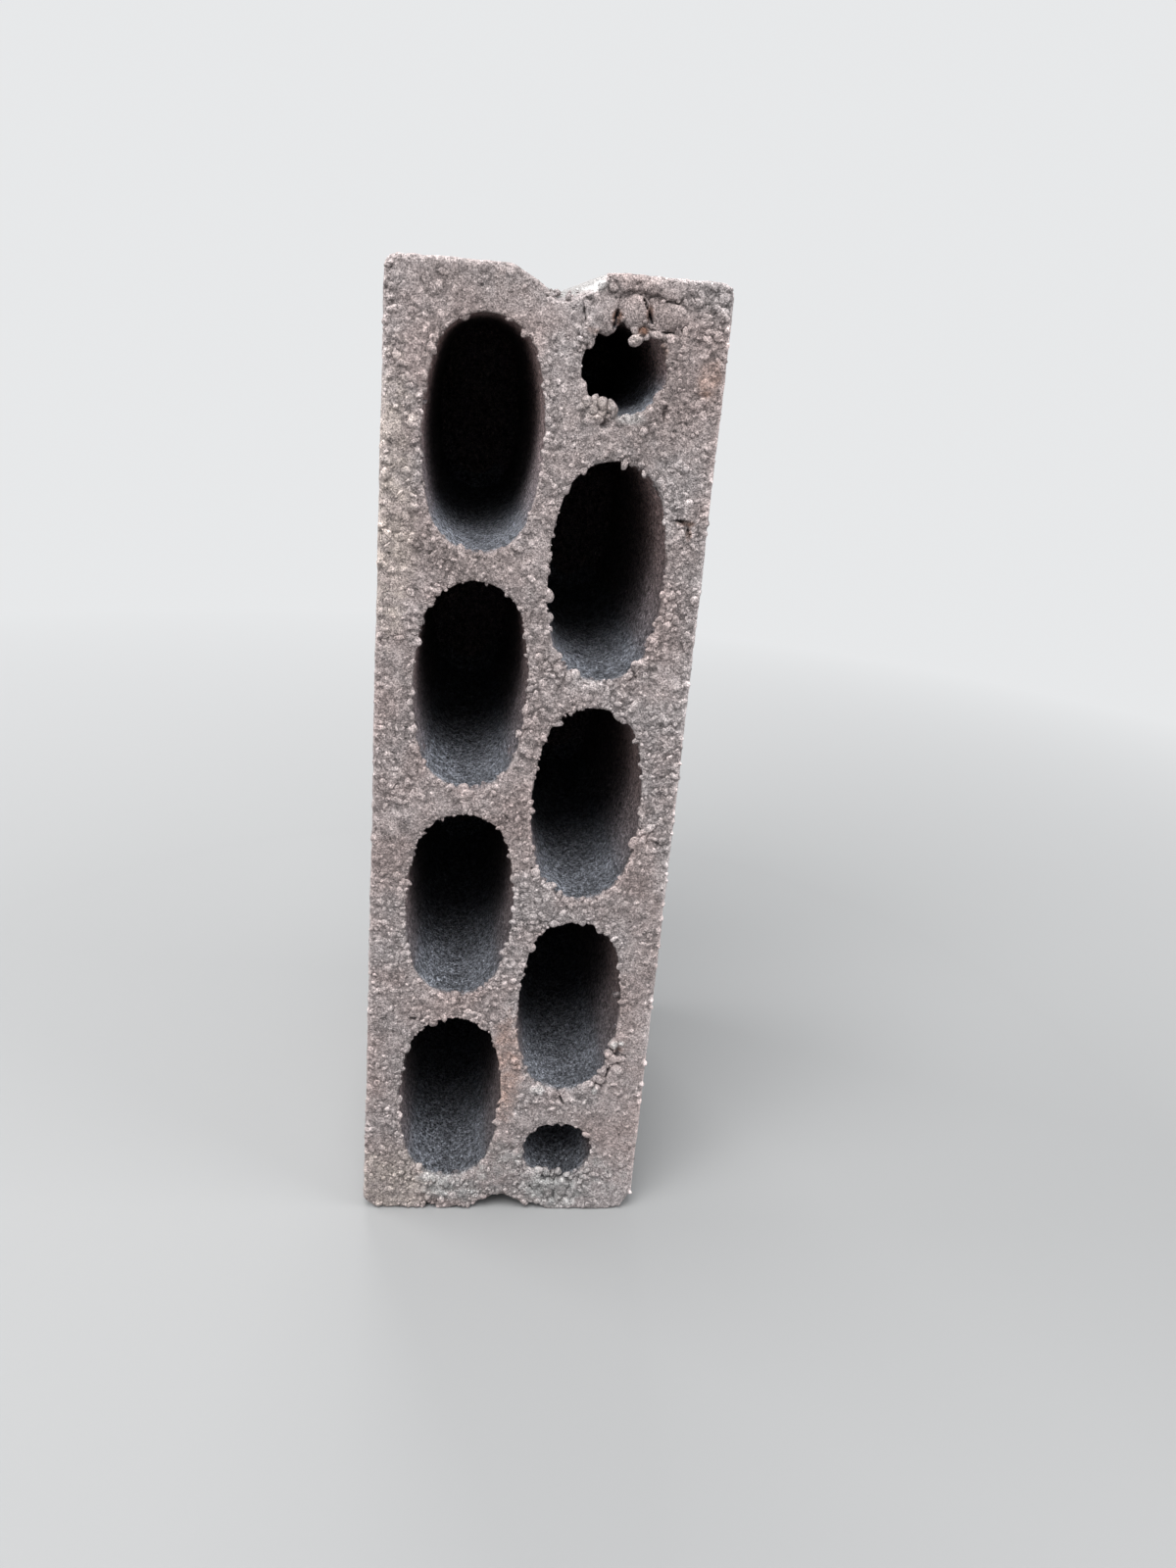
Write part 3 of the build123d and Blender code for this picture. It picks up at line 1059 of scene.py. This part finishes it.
def concrete(name):
    """The finish of the concrete: coarse on the open face, sandy in the voids, tight outside."""
    material = bpy.data.materials.new(name)
    material.use_nodes = True
    tree = material.node_tree
    shader = tree.nodes["Principled BSDF"]
    shader.inputs["Roughness"].default_value = 0.95
    shader.inputs["Specular IOR Level"].default_value = 0.25
    place = tree.nodes.new("ShaderNodeTexCoord").outputs["Object"]
    wall = attribute(tree, "wall")
    face = attribute(tree, "face")
    rough = attribute(tree, "rough")
    fine = texture_noise(tree, place, FINE_SCALE, 3, 0.75)
    lumps = texture_noise(tree, place, UNEVEN_SCALE, 2, 0.5)
    drawn = vector_math(tree, "MULTIPLY", place, DRAWN_OUT)
    sand = texture_noise(tree, drawn, SAND_SCALE, 3, 0.75)
    scratches = texture_noise(tree, drawn, SCRATCH_SCALE, 3, 0.75)
    patches = texture_noise(tree, place, PATCH_SCALE, 3, 0.6)
    crumb_height, crumb_tone = texture_facets(tree, place, CRUMB_SCALE)
    grit_height, grit_tone = texture_facets(tree, place, GRIT_SCALE)
    crevices = texture_edges(tree, place, CRUMB_SCALE, CREVICE_SWIRL)
    pit = pits(tree, place, PIT_SCALE, PIT_WIDTH)
    pore = product(tree, pits(tree, place, PORE_SCALE, PORE_WIDTH), face)

    # Colour: paste or tight outside, then stains and painted light, ragged, then the voids' walls
    paste = mixed(tree, ranged(tree, patches, 0.38, 0.62, 0, 1), WARM_PASTE, PALE_PASTE)
    outside = mixed(tree, ranged(tree, patches, 0.35, 0.65, 0, 1), OUTSIDE, OUTSIDE_PALE)
    colour = mixed(tree, face, outside, paste)
    stain_and_painted_light = tree.nodes.new("ShaderNodeAttribute")
    stain_and_painted_light.attribute_name = "stain_and_painted_light"
    ragged = ranged(tree, lumps, 0.3, 0.7, -0.25, 0.25)
    broken = combined(tree, "ADD", stain_and_painted_light.outputs["Alpha"], ragged)
    colour = mixed(tree, ranged(tree, broken, 0.22, 1.0, 0, 1), colour, stain_and_painted_light.outputs["Color"])
    # painted shade on the walls' sides, painted skylight on their upward-facing lower walls
    walls = mixed(tree, attribute(tree, "upward"), WALL_SIDE_SHADED, WALL_LOWER_SKYLIT)
    # the walls' colour darkened by the painted shade in the voids
    colour = mixed(tree, wall, colour, scaled(tree, walls, attribute(tree, "deep")))

    # Tone: how pale each grain and crumb is, with painted shade in hollows, crevices and holes
    within = combined(tree, "MAXIMUM", face, wall)
    coarse = combined(tree, "MAXIMUM", face, 0.35)
    sandy = combined(tree, "MAXIMUM", within, 0.35)
    calm = product(tree, face, ranged(tree, rough, 0.2, 0.8, 0.5, 0.0))
    sandy_share = combined(tree, "MAXIMUM", wall, calm)
    outside_pit = product(tree, pit, ranged(tree, within, 0, 1, 1, 0))
    tone = product(
        tree,
        ranged(tree, fine, 0.25, 0.75, 0.0, 2.05),
        spread(tree, ranged(tree, scratches, 0.32, 0.68, 0, 1), wall, 0.25, 1.75),
        spread(tree, grit_tone, sandy, 0.78, 1.24),
        spread(tree, crumb_tone, coarse, 0.9, 1.1),
        spread(tree, ranged(tree, sand, 0.36, 0.64, 0, 1), sandy_share, 0.45, 1.55),
        ranged(tree, lumps, 0.3, 0.7, 0.92, 1.08),
        # painted shade in hollows and painted highlight on ridges
        ranged(tree, attribute(tree, "hollow"), -0.45, 0.35, 0.52, 1.3),
        attribute(tree, "tone"),
        # painted thin shadows in the crevices between crumbs
        spread(
            tree, ranged(tree, crevices, 0.0, 0.07, 0, 1), product(tree, coarse, rough), 0.76, 1.0
        ),
        # painted shade in the holes of the outside and of the open face
        ranged(tree, outside_pit, 0, 1, 1.0, 0.35),
        ranged(tree, pore, 0, 1, 1.0, 0.4),
    )
    link(tree, scaled(tree, colour, tone), shader.inputs["Base Color"])

    # Relief, in millimetres
    bump = tree.nodes.new("ShaderNodeBump")
    bump.inputs["Strength"].default_value = 1.0
    bump.inputs["Distance"].default_value = MM
    height = product(tree, crumb_height, coarse, ranged(tree, wall, 0, 1, 0.8, 1.4), rough)
    for part in (
        product(tree, sand, wall, 2.0),
        product(tree, grit_height, sandy, ranged(tree, wall, 0, 1, 1.0, 2.6)),
        product(tree, fine, ranged(tree, sandy, 0.3, 1, 0.25, 0.8)),
        product(tree, ranged(tree, crevices, 0.0, 0.1, -0.2, 0.0), face, rough),
        ranged(tree, combined(tree, "MAXIMUM", pit, pore), 0, 1, 0, -0.5),
    ):
        height = combined(tree, "ADD", height, part)
    link(tree, height, bump.inputs["Height"])
    link(tree, bump.outputs[0], shader.inputs["Normal"])
    return material


def finished(piece, material):
    """Gives a piece its finish and its place on the frame."""
    piece.data.materials.append(material)
    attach(piece, "root")


def build_block():
    """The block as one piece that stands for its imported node, and the stones on its open face."""
    field, low = block_distances()
    axes = grid_axes(low, field.shape)
    near, profile, drifts = worn_face(field, axes)
    piece = slimmed(surface(field, low, "concrete_block_skin"), "block")
    surroundings = (*face_heights(field, near), near, drifts)
    gravel = face_grains(surroundings, **GRAVEL)
    pebbles = named_pebbles()
    stones = [
        (spot[0], spot[2], radius)
        for spots, radii, _ in (gravel, pebbles)
        for spot, radius in zip(spots, radii)
    ]
    mark_zones(piece.data, field, axes, drifts, stones)
    piece.data.polygons.foreach_set("use_smooth", [True] * len(piece.data.polygons))
    material = concrete("concrete")
    finished(piece, material)
    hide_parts("concrete_block")
    for name, grains in (
        ("face_grit", face_grains(surroundings, **GRIT)),
        ("face_gravel", gravel),
        ("rim_grit", rim_grains(near, profile)),
        ("pebbles", pebbles),
    ):
        mesh = grain_mesh(name, *grains, *STONE_LOOKS[name])
        holder = bpy.data.objects.new(name, mesh)
        bpy.context.scene.collection.objects.link(holder)
        finished(holder, material)


def place_camera():
    """The camera where the photograph was taken from: close, above the middle, and rolled."""
    camera = bpy.data.cameras.new("camera")
    camera.lens = CAMERA_LENS
    camera.sensor_width = CAMERA_SENSOR
    holder = bpy.data.objects.new("camera", camera)
    place = Matrix.Translation(Vector(CAMERA_PLACE) * MM)
    pan = Matrix.Rotation(radians(CAMERA_PAN), 4, "Z")
    tilt = Matrix.Rotation(radians(90 - CAMERA_DIP), 4, "X")
    roll = Matrix.Rotation(radians(CAMERA_ROLL), 4, "Z")
    holder.matrix_world = place @ pan @ tilt @ roll
    camera.clip_start = 0.01
    bpy.context.scene.collection.objects.link(holder)
    bpy.context.scene.camera = holder


def area_lamp(name, place, target, size, power):
    """A soft square lamp at a place in metres, turned to its target."""
    data = bpy.data.lights.new(name, "AREA")
    data.size = size
    data.energy = power
    lamp = bpy.data.objects.new(name, data)
    lamp.location = place
    lamp.rotation_euler = (Vector(target) - Vector(place)).to_track_quat("-Z", "Y").to_euler()
    bpy.context.scene.collection.objects.link(lamp)


def build_floor():
    """A plain pale floor that runs into the plain pale background."""
    mesh = bpy.data.meshes.new("floor")
    far = FLOOR_SIZE
    corners = [(-far, -far, 0), (far, -far, 0), (far, far, 0), (-far, far, 0)]
    mesh.from_pydata(corners, [], [(0, 1, 2, 3)])
    floor = bpy.data.objects.new("floor", mesh)
    bpy.context.scene.collection.objects.link(floor)
    material = bpy.data.materials.new("floor")
    material.use_nodes = True
    tree = material.node_tree
    shader = tree.nodes["Principled BSDF"]
    shader.inputs["Roughness"].default_value = 0.9
    seen = seen_ray(tree)
    link(tree, mixed(tree, seen, FLOOR_SHADE, FLOOR), shader.inputs["Base Color"])
    plain = tree.nodes.new("ShaderNodeEmission")
    plain.inputs["Color"].default_value = BACKDROP
    place = tree.nodes.new("ShaderNodeTexCoord").outputs["Object"]
    far = ranged(tree, vector_math(tree, "LENGTH", place), *FLOOR_FADE, 0, 1)
    blend = tree.nodes.new("ShaderNodeMixShader")
    link(tree, product(tree, far, seen), blend.inputs[0])
    link(tree, shader.outputs[0], blend.inputs[1])
    link(tree, plain.outputs[0], blend.inputs[2])
    link(tree, blend.outputs[0], tree.nodes["Material Output"].inputs["Surface"])
    mesh.materials.append(material)


def build_sky():
    """The soft light all round, and the background that the camera sees."""
    world = bpy.data.worlds.new("sky")
    bpy.context.scene.world = world
    world.use_nodes = True
    tree = world.node_tree
    sky = tree.nodes["Background"]
    seen = seen_ray(tree)
    link(tree, mixed(tree, seen, SKY, BACKDROP), sky.inputs["Color"])
    link(tree, ranged(tree, seen, 0, 1, SKY_STRENGTH, 1.0), sky.inputs["Strength"])


def seen_ray(tree):
    """1 for what the camera sees, also in a reflection, and 0 for light on the object."""
    path = tree.nodes.new("ShaderNodeLightPath")
    seen = combined(tree, "MAXIMUM", path.outputs["Is Camera Ray"], path.outputs["Is Glossy Ray"])
    return combined(tree, "MAXIMUM", seen, path.outputs["Is Transmission Ray"])


build_block()
place_camera()
build_floor()
build_sky()
for lamp in LAMPS:
    area_lamp(*lamp)
bpy.context.scene.view_settings.view_transform = "Standard"
